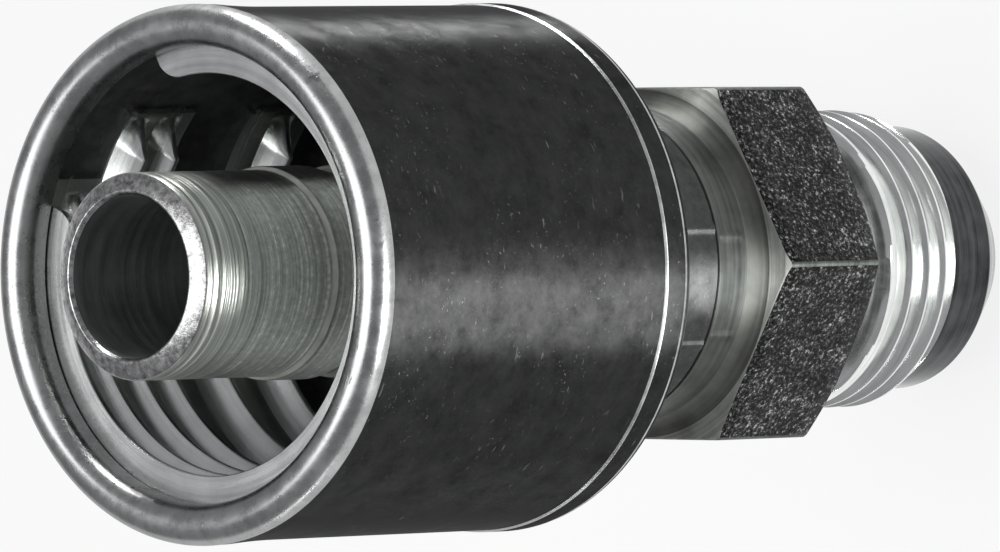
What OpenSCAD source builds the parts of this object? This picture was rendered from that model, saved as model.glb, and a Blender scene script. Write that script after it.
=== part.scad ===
// Crimp hose fitting: a turned stem, a swaged-on ferrule and a pressed grip insert inside it.
// Millimetres. The axis is Z, with the nose end face at z = 0 and the hose end upward.

/* [Male end] */
// Diameter of the flow bore right through the stem
bore_d = 10; // [8:0.1:10.2]
// Length of the 37 degree nose cone
cone_len = 3.5; // [2.5:0.1:4]
// Diameter of the plain land behind the nose cone
land_d = 16.9; // [16.5:0.1:18]
// Length of the plain land
land_len = 3.4; // [2:0.1:6]
// Major diameter of the male thread
thread_d = 19.05; // [18.5:0.05:22]
// Length of the thread with its lead-in chamfer
thread_len = 7.2; // [5:0.1:12]
// Diameter of the relief groove behind the thread
relief_d = 16.6; // [14:0.1:18]
// Length of the relief groove
relief_len = 4; // [2:0.1:6]
// Length of the slope from the last thread into the groove
relief_lead_len = 0.8; // [0.4:0.1:1.2]

/* [Wrench hex] */
// Size across the flats
hex_flats = 22.2; // [22:0.1:26]
// Length of the hex along the axis
hex_len = 9.1; // [6:0.1:14]
// Diameter of the face left by the chamfer on the thread side
hex_thread_face_d = 22.8; // [21:0.1:25]
// Diameter of the face left by the light chamfer on the hose side
hex_hose_face_d = 24.9; // [24:0.1:25.5]

/* [Neck] */
// Diameter of the bare neck between hex and ferrule
neck_d = 19.8; // [17.5:0.1:19.8]
// Length of the bare neck
neck_len = 3.4; // [2:0.1:8]
// Radius of the fillet between neck and hex
neck_fillet = 1.1; // [0.4:0.1:1.1]
// Depth of the seat that the ferrule tail is swaged into
seat_depth = 1.3; // [1.1:0.1:1.5]

/* [Ferrule] */
// Outside diameter of the shell
shell_d = 32.8; // [30:0.1:36]
// Thickness of the shell's wall
shell_wall = 1.65; // [1.4:0.05:2]
// Length from the back edge of the shell to the middle of the mouth bead
shell_len = 26.8; // [26:0.1:34]
// Rounding of the back edge
back_round = 1; // [0.4:0.1:1.5]
// How far the band at the back edge stands proud of the shell
band_proud = 0.12; // [0.05:0.01:0.3]
// Length of that band along the axis
band_len = 2.2; // [2:0.1:5]
// How far the rounded bead at the mouth stands proud of the shell
bead_proud = 0.2; // [0.1:0.05:0.4]
// How far the bead reaches inward past the shell's inside
bead_lip = 0.7; // [0.5:0.05:0.9]
// Length of the straight wall inside the bead
mouth_land = 0.9; // [0.5:0.1:1.5]
// Length over which the shell flares out to the bead
flare_len = 5.6; // [3:0.1:8]
// Depth of the sloped back face along the axis
back_slope = 3.4; // [2:0.1:4]
// Thickness of the back wall above the back edge
back_wall = 3.5; // [3:0.1:6]
// Thickness of the swaged tail's wall
tail_wall = 1.18; // [1:0.02:1.3]
// Length of the tail from its end to the back edge of the shell
tail_len = 9.7; // [8:0.1:12]
// Radius of the fillet between tail and back face
tail_fillet = 1.4; // [0.8:0.1:2]
// Number of swaging jaws that marked the tail
jaw_count = 8; // [6:1:10]
// Width of the ridge left between two jaws
jaw_ridge_w = 0.6; // [0.4:0.1:1]
// Height of that ridge
jaw_ridge_h = 0.12; // [0.08:0.01:0.3]

/* [Hose nipple] */
// Outside diameter of the plain end of the nipple
nipple_d = 12.73; // [12.4:0.01:13.2]
// Length of the nipple from its collar to the tip
nipple_len = 27.3; // [25:0.1:34]
// Length of the plain end
nipple_plain_len = 11.4; // [8:0.1:13]
// Rise of the serrations above the plain end
serration_rise = 0.23; // [0.1:0.01:0.4]
// Depth of the serrations
serration_depth = 0.55; // [0.3:0.05:0.7]
// Distance from one serration to the next
serration_pitch = 6.2; // [5:0.1:7]
// Number of serrations
serration_count = 2; // [1:1:2]
// Length of a serration's ramp on the tip side
serration_ramp_len = 0.55; // [0.3:0.05:1]
// Length of a serration's crest
serration_crest_len = 3; // [2:0.1:3.5]
// How far the collar that holds the ferrule stands out over the seat
collar_lip = 1.4; // [1.2:0.1:2]
// Thickness of that collar
collar_len = 2; // [1.5:0.1:4]
// Drop of the cone-shaped tip face from its inner to its outer edge
tip_drop = 0.5; // [0.2:0.05:0.8]
// Width of the countersink at the tip
tip_sink = 0.2; // [0.1:0.05:0.4]
// Depth of that countersink
tip_sink_depth = 0.3; // [0.2:0.05:0.6]

/* [Grip insert] */
// Thickness of the pressed sheet
sheet_t = 0.45; // [0.3:0.05:0.6]
// Height of the ribs above the sheet
rib_height = 1.93; // [1.4:0.01:2.2]
// Distance from the middle of the bead down to the lower edge of each rib's crest
rib_drops = [3.5, 6.2, 8.9, 13.6, 19.05];
// Width of a rib's crest
crest_w = 0.35; // [0.2:0.05:0.5]
// Length of a rib's mouth side along the axis
front_flank_len = 1; // [0.8:0.05:1.1]
// Length of a rib's other side along the axis
rear_flank_len = 0.65; // [0.5:0.05:0.7]
// Length of the insert along the axis
insert_len = 20.1; // [19.9:0.1:22]
// Angle at which the ribbed wall starts
wall_start = 66; // [60:1:72]
// Angle at which the ribbed wall ends
wall_end = 355; // [330:1:356]
// Angle at which the mouth flange starts
flange_start = 73; // [67:1:90]
// Angle at which the mouth flange ends
flange_end = 378; // [360:1:395]
// Angle at which the fingers end
finger_angle = 46.5; // [44:0.5:47.5]
// Angle at which the crests of the ribs on the fingers end
finger_crest_angle = 56; // [54:0.5:58]
// Angle at which the feet of those ribs end
finger_foot_angle = 48; // [48:0.5:50]
// Top and bottom of each finger, measured down from the middle of the bead
finger_spans = [[4.75, 10.6], [15.6, 21]];
// Which ribs each finger carries
finger_ribs = [[1, 2], [4]];

/* [Clearances] */
// Radial clearance between ferrule tail and stem seat
seat_clearance = 0.02; // [0.01:0.01:0.05]
// Radial clearance between insert and shell
insert_clearance = 0.02; // [0.01:0.01:0.1]
// Clearance between insert and mouth bead along the axis
insert_end_play = 0.1; // [0.05:0.05:0.3]

/* [Hidden] */
$fn = 96;

zinc = [0.62, 0.64, 0.62];
dark_steel = [0.2, 0.21, 0.22];
bright_steel = [0.75, 0.77, 0.76];

cone_angle = 37;
hex_chamfer_slope = tan(30);
band_step = 0.1;
jaw_ridge_angle = -76;
weld = 0.02;
past = 1;
far = 40;

bore_r = bore_d / 2;
land_r = land_d / 2;
thread_r = thread_d / 2;
relief_r = relief_d / 2;
neck_r = neck_d / 2;
seat_r = neck_r - seat_depth;
nose_r = land_r - cone_len * tan(cone_angle);
land_top = cone_len + land_len;
thread_top = land_top + thread_len;
hex_bottom = thread_top + relief_len;
hex_top = hex_bottom + hex_len;
hex_corner_r = hex_flats / sqrt(3);
tail_bottom = hex_top + neck_len;

back_z = tail_bottom + tail_len;
floor_z = back_z + back_wall;
shell_r = shell_d / 2;
shell_bore_r = shell_r - shell_wall;
band_r = shell_r + band_proud;
tail_bore_r = seat_r + seat_clearance;
tail_r = tail_bore_r + tail_wall;
bead_z = back_z + shell_len;
bead_r = shell_r + bead_proud;
mouth_r = shell_bore_r - bead_lip;
bead_round = (bead_r - mouth_r) / 2;
bead_mid_r = mouth_r + bead_round;
mouth_step_z = bead_z - mouth_land;
back_angle = atan(back_slope / (band_r - tail_r));
slope_z = back_z - back_slope;

collar_r = seat_r + collar_lip;
collar_top = floor_z + collar_len;
tip_z = collar_top + nipple_len;
nipple_r = nipple_d / 2;
plain_z = tip_z - nipple_plain_len;
serration_r = nipple_r + serration_rise;
root_r = serration_r - serration_depth;

insert_r = shell_bore_r - insert_clearance;
valley_r = insert_r - sheet_t;
rib_r = valley_r - rib_height;
insert_top = mouth_step_z - insert_end_play;
insert_bottom = insert_top - insert_len;
front_t = sheet_t * sqrt(1 + pow(front_flank_len / rib_height, 2));
back_t = sheet_t * sqrt(1 + pow(rear_flank_len / rib_height, 2));

// A circle of radius r with its centre at radius x and height z
module disc_at(x, z, r) {
    translate([x, z])
        circle(r = r);
}

// Points of one serration on the nipple, from its foot to the start of its ramp
function serration(top) = [
    [root_r, top - serration_pitch],
    [serration_r, top - serration_ramp_len - serration_crest_len],
    [serration_r, top - serration_ramp_len]
];

// Half section of the stem without its hex
module stem_section() {
    polygon(concat(
        [
            [bore_r, 0],
            [nose_r, 0],
            [land_r, cone_len],
            [land_r, land_top],
            [thread_r, land_top + thread_r - land_r],
            [thread_r, thread_top],
            [relief_r, thread_top + relief_lead_len],
            [relief_r, hex_top],
            [neck_r, hex_top],
            [neck_r, tail_bottom],
            [seat_r, tail_bottom],
            [seat_r, floor_z],
            [collar_r, floor_z],
            [collar_r, collar_top],
            [root_r, collar_top]
        ],
        [for (k = [serration_count - 1:-1:0]) for (p = serration(plain_z - k * serration_pitch)) p],
        [
            [nipple_r, plain_z],
            [nipple_r, tip_z - tip_drop],
            [bore_r + tip_sink, tip_z],
            [bore_r, tip_z - tip_sink_depth]
        ]
    ));
    difference() {
        translate([neck_r - past, hex_top])
            square([neck_fillet + past, neck_fillet]);
        disc_at(neck_r + neck_fillet, hex_top + neck_fillet, neck_fillet);
    }
}

// The wrench hex with a corner on the -Y side and both ends chamfered
module wrench_hex() {
    thread_face_r = hex_thread_face_d / 2;
    hose_face_r = hex_hose_face_d / 2;
    outer_r = hex_corner_r + past;
    intersection() {
        translate([0, 0, hex_bottom])
            rotate([0, 0, 30])
                cylinder(r = hex_corner_r, h = hex_len, $fn = 6);
        rotate_extrude()
            polygon([
                [bore_r, hex_bottom],
                [thread_face_r, hex_bottom],
                [outer_r, hex_bottom + (outer_r - thread_face_r) * hex_chamfer_slope],
                [outer_r, hex_top - (outer_r - hose_face_r) * hex_chamfer_slope],
                [hose_face_r, hex_top],
                [bore_r, hex_top]
            ]);
    }
}

// The stem, turned from hexagon bar in one piece with thread, hex, neck and nipple
module stem() {
    color(zinc) {
        rotate_extrude()
            stem_section();
        wrench_hex();
    }
}

// Half section of the ferrule
module ferrule_section() {
    round_r = band_r - back_round;
    round_z = slope_z + (round_r - tail_r) * tan(back_angle) + back_round / cos(back_angle);
    fillet_z = slope_z + tail_fillet * tan(back_angle) - tail_fillet / cos(back_angle);
    polygon([
        [tail_bore_r, tail_bottom],
        [tail_r, tail_bottom],
        [tail_r, slope_z],
        [round_r + back_round * sin(back_angle), round_z - back_round * cos(back_angle)],
        [band_r, round_z],
        [band_r, back_z + band_len],
        [shell_r, back_z + band_len + band_step],
        [shell_r, bead_z - flare_len],
        [bead_r, bead_z],
        [mouth_r, bead_z],
        [mouth_r, mouth_step_z],
        [shell_bore_r, mouth_step_z],
        [shell_bore_r, floor_z],
        [tail_bore_r, floor_z]
    ]);
    disc_at(round_r, round_z, back_round);
    intersection() {
        disc_at(bead_mid_r, bead_z, bead_round);
        translate([mouth_r, mouth_step_z])
            square([2 * bead_round, bead_round + mouth_land]);
    }
    difference() {
        polygon([
            [tail_r, fillet_z],
            [tail_r, slope_z],
            [
                tail_r + tail_fillet - tail_fillet * sin(back_angle),
                fillet_z + tail_fillet * cos(back_angle)
            ]
        ]);
        disc_at(tail_r + tail_fillet, fillet_z, tail_fillet);
    }
}

// Ridges left on the tail between the swaging jaws
module jaw_ridges() {
    for (k = [0:jaw_count - 1])
        rotate([0, 0, jaw_ridge_angle + k * 360 / jaw_count])
            translate([tail_r - 0.5, -jaw_ridge_w / 2, tail_bottom])
                cube([0.5 + jaw_ridge_h, jaw_ridge_w, slope_z - tail_fillet - tail_bottom]);
}

// The ferrule, one cup with a rounded bead at its mouth and a swaged tail
module ferrule() {
    color(dark_steel) {
        rotate_extrude()
            ferrule_section();
        jaw_ridges();
    }
}

// Lower edge of the crest of rib i
function edge_z(i) = bead_z - rib_drops[i];

// Height of a rib's mouth side and of its other side at radius r
function front_z(i, r) = edge_z(i) + crest_w + (r - rib_r) * front_flank_len / rib_height;
function rear_z(i, r) = edge_z(i) - (r - rib_r) * rear_flank_len / rib_height;

// Radius at which the hollow behind a rib comes to its point
hollow_r = rib_r + (front_t + back_t - crest_w) * rib_height / (front_flank_len + rear_flank_len);

// Radius at which the middles of a rib's two sides meet
middle_r = rib_r + ((front_t + back_t) / 2 - crest_w) * rib_height / (front_flank_len + rear_flank_len);

// Points of rib i on the side of the axis, top to bottom
function rib_face(i) = [
    [valley_r, front_z(i, valley_r)],
    [rib_r, front_z(i, rib_r)],
    [rib_r, rear_z(i, rib_r)],
    [valley_r, rear_z(i, valley_r)]
];

// Points of the hollow behind rib i, bottom to top
function rib_hollow(i) = [
    [insert_r, rear_z(i, insert_r) + back_t],
    [hollow_r, rear_z(i, hollow_r) + back_t],
    [insert_r, front_z(i, insert_r) - front_t]
];

// Section of the pressed sheet with its mouth flange and all its ribs
module sheet_section() {
    ribs = len(rib_drops);
    polygon(concat(
        [
            [insert_r, insert_top],
            [rib_r, insert_top],
            [rib_r, insert_top - sheet_t],
            [valley_r, insert_top - sheet_t]
        ],
        [for (i = [0:ribs - 1]) for (p = rib_face(i)) p],
        [[valley_r, insert_bottom], [insert_r, insert_bottom]],
        [for (i = [ribs - 1:-1:0]) for (p = rib_hollow(i)) p]
    ));
}

// A sector of a turned shape between two angles
module sector(from, to) {
    rotate([0, 0, from])
        rotate_extrude(angle = to - from)
            children();
}

// A sector that takes the sheet away between two angles and two heights
module cut_out(from, to, low, high) {
    sector(from, to)
        translate([rib_r - past, low])
            square([insert_r - rib_r + 2 * past, high - low]);
}

// A block on the slanted plane at the ends of the ribs on the fingers
module rib_end_block(near, deep) {
    crest_end = rib_r * [cos(finger_crest_angle), sin(finger_crest_angle)];
    foot_end = valley_r * [cos(finger_foot_angle), sin(finger_foot_angle)];
    run = foot_end - crest_end;
    translate([crest_end[0], crest_end[1], insert_bottom])
        rotate([0, 0, atan2(run[1], run[0])])
            translate([-far / 2, near, -past])
                cube([far, deep - near, insert_len + 2 * past]);
}

// What is cut from the rolled sheet at its two ends
module end_cuts() {
    before = finger_angle - past;
    cut_out(before, flange_start, insert_top - sheet_t, insert_top + past);
    cut_out(wall_end, flange_end + past, insert_bottom - past, insert_top - sheet_t);
    cut_out(before, wall_start, bead_z - finger_spans[0][0], insert_top);
    cut_out(before, wall_start, bead_z - finger_spans[1][0], bead_z - finger_spans[0][1]);
    cut_out(before, wall_start, insert_bottom - past, bead_z - finger_spans[1][1]);
    intersection() {
        cut_out(before, wall_start, insert_bottom - past, insert_top);
        rib_end_block(-far, 0);
    }
}

// The plain tip of a finger and the closed ends of its ribs
module finger_tip(span, ribs) {
    sector(finger_angle, finger_crest_angle)
        translate([valley_r + weld, bead_z - span[1] + weld])
            square([sheet_t - 2 * weld, span[1] - span[0] - 2 * weld]);
    for (i = ribs)
        intersection() {
            sector(finger_angle, wall_start)
                polygon([
                    [middle_r, rear_z(i, middle_r) + back_t / 2],
                    [insert_r - weld, rear_z(i, insert_r - weld) + back_t / 2],
                    [insert_r - weld, front_z(i, insert_r - weld) - front_t / 2]
                ]);
            rib_end_block(weld, sheet_t);
        }
}

// The insert, pressed and rolled from one sheet into a C
module grip_insert() {
    color(bright_steel) {
        difference() {
            sector(finger_angle, flange_end)
                sheet_section();
            end_cuts();
        }
        for (k = [0:len(finger_spans) - 1])
            finger_tip(finger_spans[k], finger_ribs[k]);
    }
}

stem();
ferrule();
grip_insert();
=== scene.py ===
import math

import bmesh
import bpy
import numpy as np
from mathutils import Matrix


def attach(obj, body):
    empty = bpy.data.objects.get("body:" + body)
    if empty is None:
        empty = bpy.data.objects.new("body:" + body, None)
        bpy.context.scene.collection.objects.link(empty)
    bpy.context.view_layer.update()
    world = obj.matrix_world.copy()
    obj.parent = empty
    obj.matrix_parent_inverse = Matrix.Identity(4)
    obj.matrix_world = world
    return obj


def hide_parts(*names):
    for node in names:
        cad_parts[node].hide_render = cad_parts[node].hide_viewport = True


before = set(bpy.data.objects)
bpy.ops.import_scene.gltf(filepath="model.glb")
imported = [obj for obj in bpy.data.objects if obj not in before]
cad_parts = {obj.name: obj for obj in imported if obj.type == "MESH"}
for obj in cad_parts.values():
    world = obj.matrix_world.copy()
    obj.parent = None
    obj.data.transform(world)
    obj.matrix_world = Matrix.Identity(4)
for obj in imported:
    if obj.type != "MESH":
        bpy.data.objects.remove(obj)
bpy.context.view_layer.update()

MM = 0.001
TURN = 2 * math.pi

# Sizes in millimetres, as in the solids
BORE_R = 5.0
NOSE_R = 5.8126
LAND_R = 8.45
THREAD_R = 9.525
THREAD_ROOT_R = 8.52
THREAD_PITCH = 1.5875
THREAD_CREST_Z = 8.91
THREAD_CREST_AT = -89.0
RELIEF_R = 8.3
HEX_FLAT_R = 11.1
HEX_THREAD_FACE_R = 11.4
HEX_HOSE_FACE_R = 12.45
HEX_CORNER_R = 12.745
NECK_R = 9.9
NECK_FILLET = 1.1
SEAT_R = 8.6
COLLAR_R = 10.0
NIPPLE_R = 6.365
SERRATION_R = 6.595
ROOT_R = 6.045
SERRATION_PITCH = 6.2
TIP_SINK_R = 5.2
Z_CONE = 3.5
Z_LAND = 6.9
Z_THREAD = 14.1
Z_RELIEF = 14.9
Z_HEX = 18.1
Z_HEX_TOP = 27.2
Z_TAIL = 30.6
Z_BACK = 40.3
Z_FLOOR = 43.8
Z_COLLAR = 45.8
Z_PLAIN = 61.7
Z_TIP = 73.1
SHELL_R = 16.4
BAND_R = 16.52
BEAD_R = 16.6
BEAD_Z = 67.1
MOUTH_R = 14.05
MOUTH_STEP_Z = 66.2
SHELL_BORE_R = 14.75
TAIL_R = 9.8
TAIL_BORE_R = 8.62
SHEET_OUT_R = 14.73
SHEET_IN_R = 14.28
RIB_R = 12.35
SHEET_T = 0.45
RIB_EDGES = (63.6, 60.9, 58.2, 53.5, 48.05)
RIB_CREST = 0.35
FRONT_LEN = 1.0
REAR_LEN = 0.65
INSERT_TOP = 66.1
INSERT_BOTTOM = 46.0

# How far a step in radius moves the turned pattern, against the same step in height
RADIUS_SHARE = 1.37


# ---------------------------------------------------------------- camera

def make_camera():
    cam = bpy.data.cameras.new("camera")
    cam.lens = 519.573
    cam.sensor_width = 36.0
    cam.clip_start = 0.05
    cam.clip_end = 20.0
    obj = bpy.data.objects.new("camera", cam)
    bpy.context.scene.collection.objects.link(obj)
    forward = np.array([-0.01717406, 0.68842681, -0.72510246])
    right = np.array([-0.00799223, -0.72528077, -0.6884068])
    up = np.array([0.99982057, 0.00602756, -0.01795808])
    place = np.array([14.9548, -621.5943, 694.8697]) * MM
    m = Matrix.Identity(4)
    for i in range(3):
        m[i][0] = right[i]
        m[i][1] = up[i]
        m[i][2] = -forward[i]
        m[i][3] = place[i]
    obj.matrix_world = m
    bpy.context.scene.camera = obj


# ---------------------------------------------------------------- mesh helpers

def soften(points, radius=0.12, steps=3):
    """Rounds each inner corner of an open outline of (r, z, zone) points."""
    out = [points[0]]
    for a, b, c in zip(points, points[1:], points[2:]):
        pa, pb, pc = (np.array(p[:2], float) for p in (a, b, c))
        d1, d2 = pa - pb, pc - pb
        l1, l2 = np.linalg.norm(d1), np.linalg.norm(d2)
        cosine = float(np.dot(d1, d2) / max(l1 * l2, 1e-9))
        if cosine < -0.995 or l1 < 1e-6 or l2 < 1e-6:
            out.append(b)
            continue
        cut = min(radius, 0.45 * l1, 0.45 * l2)
        start, end = pb + d1 / l1 * cut, pb + d2 / l2 * cut
        for i in range(steps + 1):
            t = i / steps
            p = (1 - t) ** 2 * start + 2 * t * (1 - t) * pb + t * t * end
            out.append((p[0], p[1], b[2] if t > 0.5 else a[2]))
    out.append(points[-1])
    return out


def split_long(points, longest):
    """Adds points so that no step of the outline is longer than given."""
    out = [points[0]]
    for a, b in zip(points, points[1:]):
        n = int(math.hypot(b[0] - a[0], b[1] - a[1]) / longest) + 1
        for i in range(1, n + 1):
            t = i / n
            out.append((a[0] + (b[0] - a[0]) * t, a[1] + (b[1] - a[1]) * t, a[2] if i < n else b[2]))
    return out


def revolve(rows, angles):
    """rows are (r, z, zone) with r and z numbers or arrays over the angles, in radians."""
    n = len(angles)
    co = np.zeros((len(rows), n, 3))
    for i, (r, z, _) in enumerate(rows):
        co[i, :, 0] = r * np.cos(angles)
        co[i, :, 1] = r * np.sin(angles)
        co[i, :, 2] = z
    return co


def grid_faces(rows, cols):
    idx = np.arange(rows * cols).reshape(rows, cols)
    a, b = idx[:-1, :-1].ravel(), idx[:-1, 1:].ravel()
    c, d = idx[1:, 1:].ravel(), idx[1:, :-1].ravel()
    return np.stack([a, b, c, d], 1)


def mesh_object(name, co, faces, zones, materials, sharp=32.0):
    """Builds one closed mesh object from vertices in mm, merging what coincides."""
    me = bpy.data.meshes.new(name)
    me.from_pydata((co * MM).tolist(), [], faces.tolist())
    for m in materials:
        me.materials.append(m)
    me.polygons.foreach_set("material_index", np.asarray(zones, dtype=np.int32))
    bm = bmesh.new()
    bm.from_mesh(me)
    bmesh.ops.remove_doubles(bm, verts=bm.verts, dist=2e-7)
    bmesh.ops.dissolve_degenerate(bm, edges=bm.edges, dist=1e-7)
    bmesh.ops.recalc_face_normals(bm, faces=bm.faces)
    bm.to_mesh(me)
    bm.free()
    me.polygons.foreach_set("use_smooth", [True] * len(me.polygons))
    me.set_sharp_from_angle(angle=math.radians(sharp))
    obj = bpy.data.objects.new(name, me)
    bpy.context.scene.collection.objects.link(obj)
    return obj


def revolved_object(name, rows, angles, materials, sharp=32.0):
    co = revolve(rows, angles)
    faces = grid_faces(len(rows), len(angles))
    zones = np.repeat([r[2] for r in rows[:-1]], len(angles) - 1)
    # thin strips at the hex corners take the lighter neck copy of the zinc, a painted highlight along the
    # corner edges
    middle = np.degrees((angles[:-1] + angles[1:]) / 2)
    corner = np.tile(np.abs((middle + 90 + 30) % 60 - 30) < 0.76, len(rows) - 1)
    zones = np.where(corner & (zones == FLATS), NECK, zones)
    return mesh_object(name, co.reshape(-1, 3), faces, zones, materials, sharp)


# ---------------------------------------------------------------- stem

# Zones of the stem, one zinc-plated turning: the thread, land, hex flats, hex face, fillet and neck zones carry
# lighter or darker copies of its zinc, painted light and painted shade
ZINC, BRIGHT, BLACK, FLATS, NECK, DARK_BORE, LIT_FACE, TIP, SHADED_FILLET = range(9)


def thread_rows(angles):
    """Rows that follow the helix, clamped to the lead-in chamfer and the relief groove."""
    crest = 0.0625
    flank_end = 0.5 - 0.085
    drop = THREAD_R - THREAD_ROOT_R
    shape = [
        (-crest - 0.022, THREAD_R - 0.05), (-crest + 0.012, THREAD_R),
        (crest - 0.012, THREAD_R), (crest + 0.022, THREAD_R - 0.05),
        (crest + 0.13, THREAD_R - 0.37 * drop), (crest + 0.24, THREAD_R - 0.68 * drop),
        (flank_end, THREAD_ROOT_R + 0.05), (flank_end + 0.05, THREAD_ROOT_R),
        (1 - flank_end - 0.05, THREAD_ROOT_R), (1 - flank_end, THREAD_ROOT_R + 0.05),
        (1 - crest - 0.24, THREAD_R - 0.68 * drop), (1 - crest - 0.13, THREAD_R - 0.37 * drop),
    ]
    deg = np.degrees(angles)
    part_turn = (deg - THREAD_CREST_AT) / 360.0
    lift = THREAD_PITCH * part_turn
    rows = []
    for turn in range(-3, 6):
        for phase, r in shape:
            z = THREAD_CREST_Z + (turn + phase) * THREAD_PITCH + lift
            depth = np.clip((2.5 - turn - part_turn) / 0.1, 0, 1)
            radius = THREAD_R - depth * (THREAD_R - r)
            zc = np.clip(z, Z_LAND + 0.02, Z_RELIEF - 0.02)
            lead = LAND_R + (zc - Z_LAND)
            tail = THREAD_R - (zc - Z_THREAD) * (THREAD_R - RELIEF_R) / (Z_RELIEF - Z_THREAD)
            rows.append((np.minimum(np.minimum(radius, lead), tail), zc, BRIGHT))
    return rows


def hex_rows(angles):
    """Rows of the wrench hex with a chamfer whose edge follows each flat."""
    deg = np.degrees(angles)
    off = (deg + 90 + 30) % 60 - 30
    flat = HEX_FLAT_R / np.cos(np.radians(30 - np.abs(off)))
    flat = np.minimum(flat, HEX_CORNER_R)
    slope = math.tan(math.radians(30))
    bottom = Z_HEX + np.maximum(flat - HEX_THREAD_FACE_R, 0) * slope
    top = Z_HEX_TOP - np.maximum(flat - HEX_HOSE_FACE_R, 0) * slope
    face_bottom = np.minimum(flat, HEX_THREAD_FACE_R)
    face_top = np.minimum(flat, HEX_HOSE_FACE_R)
    soft = 0.09
    rows = [
        (face_bottom - 0.9, Z_HEX + 0 * flat, FLATS),
        (face_bottom - soft, Z_HEX + 0 * flat, FLATS),
        (face_bottom, Z_HEX + 0.04 + np.maximum(face_bottom - HEX_THREAD_FACE_R, 0), FLATS),
        (flat - 0.03, bottom + 0.02, FLATS),
        (flat, bottom + soft, FLATS),
    ]
    for t in (0.15, 0.4, 0.6, 0.85):
        rows.append((flat, bottom + soft + (top - bottom - 2 * soft) * t, FLATS))
    rows += [
        (flat, top - soft, FLATS),
        # the hose-side face of the hex takes the lighter copy of the zinc, painted light
        (flat - 0.03, top - 0.03, LIT_FACE),
        (face_top - soft, Z_HEX_TOP + 0 * flat, LIT_FACE),
        (face_top - 0.05 - soft, Z_HEX_TOP + 0 * flat, LIT_FACE),
    ]
    return rows


def fillet_rows():
    rows = []
    for t in np.linspace(0, 90, 9):
        a = math.radians(t)
        r = NECK_R + NECK_FILLET - NECK_FILLET * math.sin(a)
        z = Z_HEX_TOP + NECK_FILLET - NECK_FILLET * math.cos(a)
        # the upper part of the fillet takes a darker copy of the zinc, painted shade against the front lamp's
        # highlight there
        rows.append((r, z, SHADED_FILLET if t < 70 else NECK))
    return rows


def nipple_outline():
    pts = [(ROOT_R, Z_COLLAR, ZINC)]
    for k in (1, 0):
        top = Z_PLAIN - k * SERRATION_PITCH
        pts += [
            (ROOT_R, top - SERRATION_PITCH + (0.3 if k else 0.02), ZINC),
            (SERRATION_R, top - 3.55, ZINC),
            # the step down from each serration crest takes the lighter hex-face copy of the zinc, a painted
            # highlight ring
            (SERRATION_R, top - 0.34, LIT_FACE),
        ]
        pts.append((ROOT_R if k else NIPPLE_R, top, ZINC))
    pts += [
        (NIPPLE_R, Z_TIP - 0.5, TIP),
        (TIP_SINK_R, Z_TIP, TIP),
        (BORE_R, Z_TIP - 0.3, DARK_BORE),
    ]
    return pts


def neck_marks(rows, angles):
    """Raises the jaws' faint marks on the bare neck."""
    deg = np.degrees(angles)
    out = []
    for r, z, zone in rows:
        near = np.minimum(np.abs(deg + 79), np.abs(deg + 117))
        ridge = 0.06 * np.clip(1.3 - near / 1.3, 0, 1)
        on_neck = zone == NECK and np.max(r) < NECK_R + 0.02 and np.min(r) > NECK_R - 0.02
        out.append((r + ridge * on_neck * (np.max(z) < 30.4), z, zone))
    return out


def make_stem(materials):
    corners = [math.radians(a + d) for a in range(-150, 200, 60) for d in (-0.76, 0.76)]
    angles = np.array(sorted(list(np.linspace(-math.pi, math.pi, 289)) + corners))
    # The nose end, cone and land take the near-black copy of the zinc, painted shade
    rows = soften([
        (BORE_R, 0.15, BLACK), (BORE_R + 0.1, 0.0, BLACK), (NOSE_R, 0, BLACK),
        (LAND_R, Z_CONE, BLACK), (LAND_R, Z_LAND, BRIGHT),
    ], 0.12)
    rows += thread_rows(angles)
    rows += soften([
        (RELIEF_R, Z_RELIEF, BRIGHT), (RELIEF_R, Z_HEX, BRIGHT), (HEX_FLAT_R - 0.9, Z_HEX, FLATS),
    ], 0.3)
    rows += hex_rows(angles)
    rows += fillet_rows()
    rows += neck_marks([(NECK_R, z, NECK) for z in (28.4, 28.6, 28.65, 29.5, 30.3, 30.35)], angles)
    rows += soften([
        (NECK_R, 30.4, NECK), (NECK_R, Z_TAIL - 0.01, NECK),
        (SEAT_R, Z_TAIL, NECK), (SEAT_R, Z_FLOOR, NECK),
        (COLLAR_R, Z_FLOOR, ZINC), (COLLAR_R, Z_COLLAR, ZINC),
    ], 0.08)
    rows += split_long(soften(nipple_outline(), 0.14), 1.2)
    rows += [(BORE_R, z, DARK_BORE) for z in np.linspace(Z_TIP - 0.5, 0.3, 24)]
    rows.append((BORE_R, 0.15, BLACK))
    obj = revolved_object("stem_turned", rows, angles, materials)
    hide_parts("stem")
    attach(obj, "root")
    return obj


# ---------------------------------------------------------------- ferrule

SHELL, BEAD, INSIDE, TAIL, BACK, EDGE = range(6)


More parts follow.
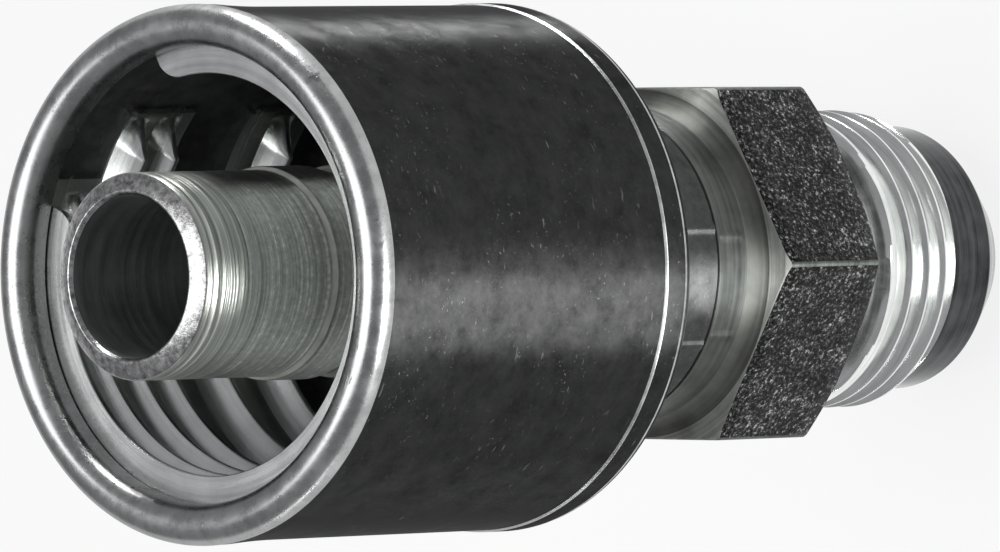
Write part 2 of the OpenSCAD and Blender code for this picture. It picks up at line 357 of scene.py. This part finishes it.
def ferrule_outline():
    back = math.atan((3.4) / (BAND_R - TAIL_R))
    slope_z = Z_BACK - 3.4
    fr = 1.4
    fz = slope_z + fr * math.tan(back) - fr / math.cos(back)
    rows = [(TAIL_BORE_R, Z_TAIL, TAIL), (TAIL_R - 0.1, Z_TAIL, TAIL), (TAIL_R, Z_TAIL + 0.1, TAIL)]
    for z in np.linspace(Z_TAIL + 0.3, fz, 8):
        rows.append((TAIL_R, z, TAIL))
    for t in np.linspace(0, 90 - math.degrees(back), 8)[1:]:
        a = math.radians(t)
        rows.append((TAIL_R + fr - fr * math.cos(a), fz + fr * math.sin(a), TAIL if t < 30 else BACK))
    rr = BAND_R - 1.0
    rz = slope_z + (rr - TAIL_R) * math.tan(back) + 1.0 / math.cos(back)
    for t in np.linspace(-90 + math.degrees(back), 0, 8):
        a = math.radians(t)
        rows.append((rr + math.cos(a), rz + math.sin(a), BACK if t < -30 else SHELL))
    rows[-2] = (*rows[-2][:2], EDGE)
    rows += [
        (BAND_R, Z_BACK + 2.15, EDGE), (BAND_R - 0.03, Z_BACK + 2.2, EDGE),
        (SHELL_R, Z_BACK + 2.32, SHELL), (SHELL_R, Z_BACK + 2.5, SHELL),
    ]
    for z in np.linspace(43.5, 61.0, 12):
        rows.append((SHELL_R, z, SHELL))
    for t in np.linspace(0, 1, 7):
        rows.append((SHELL_R + 0.17 * t * t, 61.5 + 4.6 * t, SHELL))
    br = (BEAD_R - MOUTH_R) / 2
    bc = MOUTH_R + br
    for t in np.linspace(-12, 180, 33):
        a = math.radians(t)
        rows.append((bc + br * math.cos(a), BEAD_Z + br * math.sin(a), BEAD))
    rows += [
        (MOUTH_R, 66.6, BEAD), (MOUTH_R, MOUTH_STEP_Z + 0.08, BEAD),
        (MOUTH_R + 0.08, MOUTH_STEP_Z, INSIDE), (SHELL_BORE_R, MOUTH_STEP_Z, INSIDE),
    ]
    for z in np.linspace(65, Z_FLOOR, 14):
        rows.append((SHELL_BORE_R, z, INSIDE))
    rows += [(TAIL_BORE_R, Z_FLOOR, INSIDE), (TAIL_BORE_R, 37.0, TAIL), (TAIL_BORE_R, Z_TAIL, TAIL)]
    return rows


def jaw_marks(co, angles):
    """Raises thin ridges on the tail between the swaging jaws."""
    deg = np.degrees(angles)
    gap = np.abs((deg + 76 + 22.5) % 45 - 22.5)
    ridge = 0.11 * np.clip(1.4 - gap / 1.6, 0, 1)
    for i in range(co.shape[0]):
        r = np.hypot(co[i, :, 0], co[i, :, 1])
        z = co[i, 0, 2]
        if Z_TAIL + 0.05 < z < 36.5 and r.min() > TAIL_R - 0.05:
            grown = (r + ridge) / r
            co[i, :, 0] *= grown
            co[i, :, 1] *= grown


def make_ferrule(materials):
    angles = np.linspace(-math.pi, math.pi, 361)
    rows = ferrule_outline()
    co = revolve(rows, angles)
    jaw_marks(co, angles)
    faces = grid_faces(len(rows), len(angles))
    zones = np.repeat([r[2] for r in rows[:-1]], len(angles) - 1)
    obj = mesh_object("ferrule_cup", co.reshape(-1, 3), faces, zones, materials)
    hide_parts("ferrule")
    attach(obj, "root")
    return obj


# ---------------------------------------------------------------- insert

def section_rows():
    """(z, height of the rib, number of the rib) down the inner face of the sheet."""
    full = SHEET_IN_R - RIB_R
    rows = [(INSERT_TOP - 0.02, 0, -1), (65.4, 0, -1)]
    for i, e in enumerate(RIB_EDGES):
        front = e + RIB_CREST + FRONT_LEN
        rows += [
            (front + 0.06, 0.0, i), (front - 0.04, 0.03 * full, i),
            (e + RIB_CREST + 0.5 * FRONT_LEN, 0.5 * full, i),
            (e + RIB_CREST + 0.08, 0.93 * full, i), (e + RIB_CREST - 0.03, full * 0.985, i),
            (e + RIB_CREST * 0.5, full, i), (e + 0.03, full * 0.985, i),
            (e - 0.05, 0.93 * full, i), (e - 0.5 * REAR_LEN, 0.5 * full, i),
            (e - REAR_LEN + 0.03, 0.03 * full, i), (e - REAR_LEN - 0.05, 0.0, i),
        ]
        if i < len(RIB_EDGES) - 1:
            nxt = RIB_EDGES[i + 1] + RIB_CREST + FRONT_LEN
            low = e - REAR_LEN
            if low - nxt > 1.5:
                rows.append(((low + nxt) / 2 + 0.4, 0, -1))
                rows.append(((low + nxt) / 2 - 0.4, 0, -1))
    rows += [(46.6, 0, -1), (INSERT_BOTTOM, 0, -1)]
    return rows


def rib_fade(deg, rib):
    """How much of a rib's height is left at an angle."""
    if rib in (1, 2, 4):
        return np.clip((deg - 48.0) / 8.0, 0, 1)
    return np.clip((deg - 70.0) / 8.0, 0, 1)


def make_insert(materials):
    deg = np.concatenate([np.arange(46.5, 72, 0.75), np.arange(72, 355.01, 1.25)])
    deg[-1] = 355.0
    rows = section_rows()
    z = np.array([r[0] for r in rows])
    inner = np.zeros((len(rows), len(deg)))
    for i, (_, h, rib) in enumerate(rows):
        inner[i] = SHEET_IN_R - h * (rib_fade(deg, rib) if rib >= 0 else 0)
    # the outer face follows the inner one at the thickness of the sheet
    steep = np.gradient(inner, axis=0) / np.gradient(z)[:, None]
    n = np.sqrt(1 + steep ** 2)
    outer_r = np.minimum(inner + SHEET_T / n, SHEET_OUT_R)
    outer_z = z[:, None] - SHEET_T * steep / n * (inner < SHEET_IN_R - 0.01)
    ang = np.radians(deg)
    front = np.stack([inner * np.cos(ang), inner * np.sin(ang), np.repeat(z[:, None], len(deg), 1)], -1)
    rear = np.stack([outer_r * np.cos(ang), outer_r * np.sin(ang), outer_z], -1)
    keep = np.ones((len(rows) - 1, len(deg) - 1), bool)
    zm = (z[:-1] + z[1:]) / 2
    dm = (deg[:-1] + deg[1:]) / 2
    for i, zz in enumerate(zm):
        for j, dd in enumerate(dm):
            if dd < 66 and not (56.5 < zz < 62.35 or 46.1 < zz < 51.5):
                keep[i, j] = False
            for low, high in ((56.5, 62.35), (46.1, 51.5)):
                corner = 0.9
                edge = min(high - zz, zz - low)
                if dd < 66 and low < zz < high and edge < corner:
                    if (dd - 46.5) * 0.25 < corner - math.sqrt(max(0, corner ** 2 - (corner - edge) ** 2)):
                        keep[i, j] = False
    return sheet_object("grip_insert_sheet", front, rear, keep, materials)


def sheet_object(name, front, rear, keep, materials):
    """A sheet with two faces and closed edges from two grids and the cells that are kept."""
    rows, cols = front.shape[:2]
    n = rows * cols
    idx = np.arange(n).reshape(rows, cols)
    faces = []
    for i in range(rows - 1):
        for j in range(cols - 1):
            if not keep[i, j]:
                continue
            a, b, c, d = idx[i, j], idx[i, j + 1], idx[i + 1, j + 1], idx[i + 1, j]
            faces.append((a, b, c, d))
            faces.append((a + n, d + n, c + n, b + n))
            if i == 0 or not keep[i - 1, j]:
                faces.append((a, a + n, b + n, b))
            if i == rows - 2 or not keep[i + 1, j]:
                faces.append((d, c, c + n, d + n))
            if j == 0 or not keep[i, j - 1]:
                faces.append((a, d, d + n, a + n))
            if j == cols - 2 or not keep[i, j + 1]:
                faces.append((b, b + n, c + n, c))
    co = np.concatenate([front.reshape(-1, 3), rear.reshape(-1, 3)])
    used = np.unique(np.array(faces))
    remap = -np.ones(len(co), int)
    remap[used] = np.arange(len(used))
    faces = remap[np.array(faces)]
    return mesh_object(name, co[used], faces, np.zeros(len(faces)), materials, 26.0)


def make_flange(materials):
    """The flat flange under the bead, with rounded ends."""
    deg = np.concatenate([
        np.linspace(73, 77, 9), np.linspace(79, 370, 220), np.linspace(371, 378, 15),
    ])
    inner = np.full(len(deg), RIB_R)
    for k, (end, span) in enumerate(((73.0, 4.0), (378.0, 7.0))):
        near = np.clip(1 - np.abs(deg - end) / span, 0, 1)
        inner += (1 - np.sqrt(1 - near ** 2)) * 1.6
    ang = np.radians(deg)
    e = 0.06
    ring = [
        (inner + e, INSERT_TOP), (inner, INSERT_TOP - e), (inner, INSERT_TOP - SHEET_T + e),
        (inner + e, INSERT_TOP - SHEET_T), (SHEET_OUT_R - 0.02 + 0 * inner, INSERT_TOP - SHEET_T),
        (SHEET_OUT_R - 0.02 + 0 * inner, INSERT_TOP), (inner + e, INSERT_TOP),
    ]
    co = np.zeros((len(ring), len(deg), 3))
    for i, (r, z) in enumerate(ring):
        co[i, :, 0], co[i, :, 1], co[i, :, 2] = r * np.cos(ang), r * np.sin(ang), z
    faces = grid_faces(len(ring), len(deg)).tolist()
    n = len(deg)
    faces = [tuple(f) for f in faces]
    first = [i * n for i in range(len(ring) - 1)]
    last = [i * n + n - 1 for i in range(len(ring) - 1)]
    me_faces = faces + [tuple(first), tuple(reversed(last))]
    return co.reshape(-1, 3), me_faces


def join_flange(obj, materials):
    co, faces = make_flange(materials)
    me = bpy.data.meshes.new("flange")
    me.from_pydata((co * MM).tolist(), [], faces)
    bm = bmesh.new()
    bm.from_mesh(obj.data)
    bm.from_mesh(me)
    bmesh.ops.remove_doubles(bm, verts=bm.verts, dist=2e-7)
    bmesh.ops.recalc_face_normals(bm, faces=bm.faces)
    bm.to_mesh(obj.data)
    bm.free()
    bpy.data.meshes.remove(me)
    obj.data.polygons.foreach_set("use_smooth", [True] * len(obj.data.polygons))
    obj.data.set_sharp_from_angle(angle=math.radians(26))
    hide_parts("grip_insert")
    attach(obj, "root")


# ---------------------------------------------------------------- materials

def new_material(name, color, metallic=1.0, rough=0.4):
    m = bpy.data.materials.new(name)
    m.use_nodes = True
    b = m.node_tree.nodes["Principled BSDF"]
    b.inputs["Base Color"].default_value = (*color, 1)
    b.inputs["Metallic"].default_value = metallic
    b.inputs["Roughness"].default_value = rough
    return m, m.node_tree, b


def add(tree, kind, **inputs):
    node = tree.nodes.new(kind)
    for key, value in inputs.items():
        node.inputs[int(key[1:]) if key[0] == "i" and key[1:].isdigit() else key].default_value = value
    return node


def math_node(tree, op, a, b=None):
    node = tree.nodes.new("ShaderNodeMath")
    node.operation = op
    for i, v in enumerate((a, b)):
        if v is None:
            continue
        if isinstance(v, (int, float)):
            node.inputs[i].default_value = v
        else:
            tree.links.new(v, node.inputs[i])
    return node.outputs[0]


def turned_coords(tree, across, around):
    """Coordinates without a seam: height and radius in mm times across, direction times around."""
    tex = tree.nodes.new("ShaderNodeTexCoord")
    sep = tree.nodes.new("ShaderNodeSeparateXYZ")
    tree.links.new(tex.outputs["Object"], sep.inputs[0])
    x, y, z = sep.outputs
    r = math_node(tree, "SQRT", math_node(tree, "ADD", math_node(tree, "MULTIPLY", x, x),
                                          math_node(tree, "MULTIPLY", y, y)))
    along = math_node(tree, "ADD", z, math_node(tree, "MULTIPLY", r, RADIUS_SHARE))
    out = tree.nodes.new("ShaderNodeCombineXYZ")
    for i, part in enumerate((x, y)):
        direction = math_node(tree, "DIVIDE", part, r)
        tree.links.new(math_node(tree, "MULTIPLY", direction, around), out.inputs[i])
    tree.links.new(math_node(tree, "MULTIPLY", along, across * 1000.0), out.inputs[2])
    return out.outputs[0]


def object_coords(tree, scale):
    tex = tree.nodes.new("ShaderNodeTexCoord")
    mapping = tree.nodes.new("ShaderNodeMapping")
    mapping.inputs["Scale"].default_value = (scale * 1000.0,) * 3
    tree.links.new(tex.outputs["Object"], mapping.inputs["Vector"])
    return mapping.outputs[0]


def noise(tree, vector, scale=1.0, detail=3.0, rough=0.5):
    node = tree.nodes.new("ShaderNodeTexNoise")
    node.inputs["Scale"].default_value = scale
    node.inputs["Detail"].default_value = detail
    node.inputs["Roughness"].default_value = rough
    tree.links.new(vector, node.inputs["Vector"])
    return node.outputs["Fac"]


def ramp(tree, fac, stops):
    node = tree.nodes.new("ShaderNodeValToRGB")
    els = node.color_ramp.elements
    while len(els) < len(stops):
        els.new(0.5)
    for el, (pos, col) in zip(els, stops):
        el.position = pos
        el.color = (*col, 1) if isinstance(col, tuple) else (col, col, col, 1)
    tree.links.new(fac, node.inputs[0])
    return node.outputs[0]


def bump(tree, height, distance, strength=1.0, normal=None):
    node = tree.nodes.new("ShaderNodeBump")
    node.inputs["Strength"].default_value = strength
    node.inputs["Distance"].default_value = distance * MM
    tree.links.new(height, node.inputs["Height"])
    if normal is not None:
        tree.links.new(normal, node.inputs["Normal"])
    return node.outputs[0]


def turned_metal(name, dark, light, rough, lines=0.004, across=5.0, rough_spread=0.12, streak=0.5):
    """Metal with fine turning lines round the axis."""
    m, t, b = new_material(name, light, 1.0, rough)
    fine = noise(t, turned_coords(t, across, 0.6), 1.0, 4.0, 0.65)
    cloud = noise(t, object_coords(t, 0.35), 1.0, 3.0, 0.6)
    both = math_node(t, "ADD", math_node(t, "MULTIPLY", fine, 0.55), math_node(t, "MULTIPLY", cloud, 0.45))
    t.links.new(ramp(t, both, [(0.36, dark), (0.62, light)]), b.inputs["Base Color"])
    t.links.new(ramp(t, fine, [(0.3, rough - rough_spread / 2), (0.7, rough + rough_spread / 2)]),
                b.inputs["Roughness"])
    grain = noise(t, object_coords(t, 9.0), 1.0, 2.0, 0.5)
    n = bump(t, fine, lines * 10, 0.5)
    t.links.new(bump(t, grain, 0.004, 0.4, n), b.inputs["Normal"])
    brushed_round(t, b, streak)
    return m


def brushed_round(tree, bsdf, amount):
    """Stretches the gloss along the axis, as fine turning round it does."""
    tangent = tree.nodes.new("ShaderNodeTangent")
    tangent.direction_type = "RADIAL"
    tangent.axis = "Z"
    tree.links.new(tangent.outputs[0], bsdf.inputs["Tangent"])
    bsdf.inputs["Anisotropic"].default_value = amount
    bsdf.inputs["Anisotropic Rotation"].default_value = 0.25


def grainy_metal(name, rough):
    """Steel with a coarse grain that sparkles, its tone darkened almost to black as painted shade."""
    m, t, b = new_material(name, (0.04, 0.04, 0.04), 1.0, rough)
    grain = noise(t, object_coords(t, 4.0), 1.0, 5.0, 0.75)
    cloud = noise(t, object_coords(t, 0.45), 1.0, 3.0, 0.6)
    mix = math_node(t, "ADD", math_node(t, "MULTIPLY", grain, 0.85), math_node(t, "MULTIPLY", cloud, 0.15))
    stops = [(0.40, 0.002), (0.48, 0.010), (0.53, 0.038), (0.58, 0.13), (0.65, 0.62)]
    t.links.new(ramp(t, mix, stops), b.inputs["Base Color"])
    t.links.new(bump(t, grain, 0.06, 0.5), b.inputs["Normal"])
    return m


def object_z(tree):
    """Height above the nose end, in mm."""
    tex = tree.nodes.new("ShaderNodeTexCoord")
    sep = tree.nodes.new("ShaderNodeSeparateXYZ")
    tree.links.new(tex.outputs["Object"], sep.inputs[0])
    return math_node(tree, "MULTIPLY", sep.outputs[2], 1000.0)


def step(tree, value, low, high):
    """0 below low, 1 above high."""
    node = tree.nodes.new("ShaderNodeMapRange")
    tree.links.new(value, node.inputs["Value"])
    node.inputs["From Min"].default_value = low
    node.inputs["From Max"].default_value = high
    return node.outputs[0]


def shell_metal(name, dark, light, rough, streak=1.0, edge=0.6, marks=0.10):
    """Dark satin finish of the ferrule with clouds, specks and small scratches."""
    m, t, b = new_material(name, (dark, dark, dark), 1.0, rough)
    cloud = noise(t, object_coords(t, 0.55), 1.0, 7.0, 0.72)
    tone = math_node(t, "MULTIPLY", step(t, cloud, 0.34, 0.70), light - dark)
    tone = math_node(t, "ADD", tone, dark)
    specks = step(t, noise(t, object_coords(t, 3.4), 1.0, 3.0, 0.65), 0.64, 0.74)
    scratches = step(t, noise(t, turned_coords(t, 3.0, 14.0), 1.0, 2.0, 0.5), 0.68, 0.76)
    where = step(t, noise(t, object_coords(t, 0.18), 1.0, 3.0, 0.5), 0.42, 0.60)
    both = math_node(t, "MULTIPLY", math_node(t, "ADD", specks, scratches), where)
    tone = math_node(t, "ADD", tone, math_node(t, "MULTIPLY", both, marks))
    t.links.new(ramp(t, tone, [(0.0, (0, 0, 0)), (1.0, (0.99, 1.0, 1.0))]), b.inputs["Base Color"])
    t.links.new(ramp(t, cloud, [(0.35, rough - 0.04), (0.65, rough + 0.06)]), b.inputs["Roughness"])
    grain = noise(t, object_coords(t, 4.5), 1.0, 4.0, 0.6)
    n = bump(t, grain, 0.010, 0.35)
    t.links.new(bump(t, both, 0.02, 0.5, n), b.inputs["Normal"])
    b.inputs["Specular Tint"].default_value = (edge, edge, edge, 1)
    brushed_round(t, b, streak)
    return m


def ringed_metal(name, dark, light, rough):
    """Zinc of the nipple, with coarse bright rings near its tip."""
    m, t, b = new_material(name, light, 1.0, rough)
    rings = noise(t, turned_coords(t, 3.4, 0.25), 1.0, 3.0, 0.6)
    cloud = noise(t, object_coords(t, 2.4), 1.0, 5.0, 0.7)
    near_tip = step(t, object_z(t), 66.8, 70.5)
    lift = math_node(t, "MULTIPLY", near_tip, 0.38)
    mix = math_node(t, "ADD", math_node(t, "MULTIPLY", rings, math_node(t, "ADD", lift, 0.62)),
                    math_node(t, "MULTIPLY", cloud, math_node(t, "SUBTRACT", 0.38, lift)))
    t.links.new(ramp(t, mix, [(0.32, dark), (0.54, light), (0.68, (0.86, 0.87, 0.84))]), b.inputs["Base Color"])
    height = math_node(t, "MULTIPLY", rings, math_node(t, "ADD", math_node(t, "MULTIPLY", near_tip, 1.0), 0.12))
    n = bump(t, height, 0.16, 0.8)
    t.links.new(bump(t, cloud, 0.02, 0.4, n), b.inputs["Normal"])
    brushed_round(t, b, 0.5)
    return m


def burred_metal(name, rough):
    """The cut end of the nipple, bright with dark pits and burrs."""
    m, t, b = new_material(name, (0.8, 0.8, 0.8), 1.0, rough)
    pits = noise(t, object_coords(t, 2.0), 1.0, 4.0, 0.7)
    t.links.new(ramp(t, pits, [(0.32, 0.14), (0.44, 0.32), (0.62, 0.58)]), b.inputs["Base Color"])
    t.links.new(bump(t, pits, 0.05, 0.5), b.inputs["Normal"])
    return m


def make_materials():
    stem = [
        ringed_metal("zinc_turned", (0.18, 0.19, 0.175), (0.42, 0.44, 0.41), 0.34),
        # thread: a near-white copy of the stem's zinc, painted highlight
        turned_metal("thread_painted_highlight", (0.68, 0.70, 0.69), (0.95, 0.97, 0.95), 0.18, 0.0008, 4.0, 0.06, 0.2),
        # land: a near-black copy of the stem's zinc, painted shade
        turned_metal("land_painted_shade", (0.014, 0.015, 0.016), (0.090, 0.094, 0.098), 0.12, 0.0006, 3.0, 0.05),
        # hex flats: near black, painted shade, with a real sparkling grain
        grainy_metal("hex_flats", 0.36),
        # neck: a darker copy of the stem's zinc, painted shade
        turned_metal("neck_painted_shade", (0.07, 0.075, 0.070), (0.18, 0.19, 0.18), 0.46, 0.004, 5.0, 0.1, 0.8),
        turned_metal("bore_dark", (0.36, 0.38, 0.37), (0.52, 0.54, 0.53), 0.42, 0.003, 2.0),
        # hose-side hex face: a lighter copy of the stem's zinc, painted light
        turned_metal("hex_face_painted_light", (0.40, 0.415, 0.385), (0.84, 0.860, 0.810), 0.62, 0.006, 3.0, 0.1, 0.9),
        burred_metal("zinc_edge", 0.26),
        # fillet: a darker copy of the stem's zinc, painted shade
        turned_metal("fillet_painted_shade", (0.15, 0.157, 0.145), (0.34, 0.350, 0.325), 0.62, 0.006, 3.0, 0.1, 0.9),
    ]
    ferrule = [
        shell_metal("shell_dark", 0.027, 0.066, 0.36, 1.0, 0.5, 0.14),
        shell_metal("bead_worn", 0.34, 0.50, 0.27, 0.0, 0.7, -0.2),
        shell_metal("shell_inside", 0.10, 0.20, 0.42),
        shell_metal("tail_swaged", 0.06, 0.17, 0.40),
        shell_metal("back_face", 0.05, 0.11, 0.40),
        shell_metal("edge_worn", 0.30, 0.62, 0.36, 0.0, 1.0, -0.2),
    ]
    insert = [turned_metal("insert_sheet", (0.66, 0.68, 0.67), (0.92, 0.94, 0.93), 0.24, 0.0015, 1.2)]
    return stem, ferrule, insert


# ---------------------------------------------------------------- light and floor

def make_floor():
    me = bpy.data.meshes.new("floor")
    s = 3.0
    me.from_pydata([(-s, -s, 0), (s, -s, 0), (s, s, 0), (-s, s, 0)], [], [(0, 1, 2, 3)])
    obj = bpy.data.objects.new("floor", me)
    bpy.context.scene.collection.objects.link(obj)
    m = bpy.data.materials.new("floor_pale")
    m.use_nodes = True
    t = m.node_tree
    t.nodes.clear()
    out = t.nodes.new("ShaderNodeOutputMaterial")
    diffuse = t.nodes.new("ShaderNodeBsdfDiffuse")
    diffuse.inputs[0].default_value = (0.86, 0.86, 0.86, 1)
    glow = t.nodes.new("ShaderNodeEmission")
    glow.inputs[0].default_value = (1, 1, 1, 1)
    path = t.nodes.new("ShaderNodeLightPath")
    seen = math_node(t, "ADD", path.outputs["Is Camera Ray"], path.outputs["Is Glossy Ray"])
    seen = math_node(t, "MINIMUM", math_node(t, "ADD", seen, path.outputs["Is Transmission Ray"]), 1.0)
    share = math_node(t, "MULTIPLY", seen, 0.8)
    mix = t.nodes.new("ShaderNodeMixShader")
    t.links.new(share, mix.inputs[0])
    t.links.new(diffuse.outputs[0], mix.inputs[1])
    t.links.new(glow.outputs[0], mix.inputs[2])
    t.links.new(mix.outputs[0], out.inputs[0])
    me.materials.append(m)


def area_light(name, place, target, size, size_y, power):
    light = bpy.data.lights.new(name, "AREA")
    light.shape = "RECTANGLE"
    light.size = size
    light.size_y = size_y
    light.energy = power
    obj = bpy.data.objects.new(name, light)
    bpy.context.scene.collection.objects.link(obj)
    d = np.array(target, float) - np.array(place, float)
    d /= np.linalg.norm(d)
    side = np.cross(d, [0, 1, 0.001])
    side /= np.linalg.norm(side)
    up = np.cross(side, d)
    m = Matrix.Identity(4)
    for i in range(3):
        m[i][0], m[i][1], m[i][2], m[i][3] = side[i], up[i], -d[i], place[i]
    obj.matrix_world = m
    return obj


def make_lights():
    area_light("top_softbox", (0.0, 0.11, 0.75), (0, 0, 0.04), 0.55, 0.60, 3.2)
    area_light("front_strip", (-0.051, -0.194, 0.046), (0, 0, 0.046), 0.014, 0.09, 0.36)
    area_light("front_soft", (-0.018, -0.20, 0.046), (0, 0, 0.046), 0.06, 0.09, 0.10)
    area_light("low_strip", (-0.20, -0.010, 0.046), (0, 0, 0.046), 0.005, 0.09, 0.018)
    panel = area_light("side_panel", (0.147, 0.031, 0.060), (0, 0, 0.058), 0.055, 0.03, 0.0125)
    panel.data.spread = math.radians(36)
    world = bpy.data.worlds.new("studio")
    bpy.context.scene.world = world
    world.use_nodes = True
    t = world.node_tree
    bg = t.nodes["Background"]
    bg.inputs[0].default_value = (0.30, 0.30, 0.31, 1)
    bg.inputs[1].default_value = 1.0


make_camera()
stem_mats, ferrule_mats, insert_mats = make_materials()
make_stem(stem_mats)
make_ferrule(ferrule_mats)
sheet = make_insert(insert_mats)
join_flange(sheet, insert_mats)
make_floor()
make_lights()
bpy.context.scene.view_settings.view_transform = "Standard"
